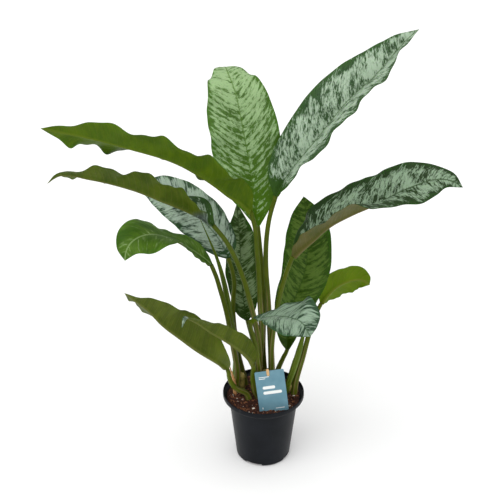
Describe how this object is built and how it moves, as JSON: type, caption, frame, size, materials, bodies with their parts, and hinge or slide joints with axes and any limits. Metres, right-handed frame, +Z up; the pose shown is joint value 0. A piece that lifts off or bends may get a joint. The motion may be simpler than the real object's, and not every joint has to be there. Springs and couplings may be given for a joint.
{
  "type": "potted chinese evergreen",
  "caption": "Leafy aglaonema with long-stalked, silver-marked pointed leaves, growing in a round tapered plastic nursery pot with a label card on a stick.",
  "frame": {"origin": "centre of the pot's flat underside, on the surface that it stands on", "axes": "+Z up along the pot's axis; -Y is the front, where the label card faces; +X is to the right seen from the front"},
  "size_m": [0.513, 0.325, 0.6355],
  "materials": {
    "pot_plastic": "dull charcoal black, moulded",
    "potting_soil": "loose, dark reddish brown",
    "silver_leaf": "satin, silver grey marked with green",
    "green_leaf": "satin green",
    "leaf_stalk": "satin olive green",
    "cane": "dull, yellow tan",
    "dry_sheath": "papery, orange tan",
    "label_card": "matt blue grey with plain pale marks",
    "stick_wood": "bare pale wood"
  },
  "bodies": {
    "root": {"pot": "pot_plastic", "soil": "potting_soil", "cane_left": "cane", "cane_centre": "cane", "cane_right": "cane", "stalk_centre_back": "leaf_stalk", "leaf_centre_back": "silver_leaf", "stalk_upper_right": "leaf_stalk", "leaf_upper_right": "silver_leaf", "stalk_right": "leaf_stalk", "leaf_right": "silver_leaf", "stalk_upper_left": "leaf_stalk", "leaf_upper_left": "silver_leaf", "stalk_left": "leaf_stalk", "leaf_left": "silver_leaf", "stalk_left_behind": "leaf_stalk", "leaf_left_behind": "silver_leaf", "stalk_dark_upright": "leaf_stalk", "leaf_dark_upright": "silver_leaf", "stalk_right_behind": "leaf_stalk", "leaf_right_behind": "green_leaf", "stalk_right_low": "leaf_stalk", "leaf_right_low": "green_leaf", "stalk_front": "leaf_stalk", "leaf_front": "silver_leaf", "stalk_lower_left": "leaf_stalk", "leaf_lower_left": "silver_leaf", "stalk_low_centre": "leaf_stalk", "leaf_low_centre": "silver_leaf", "stalk_left_arching": "leaf_stalk", "leaf_left_arching": "green_leaf", "spear_left": "green_leaf", "spear_right": "green_leaf", "dry_sheath": "dry_sheath", "label_card": "label_card", "label_stick": "stick_wood"}
  },
  "joints": []
}
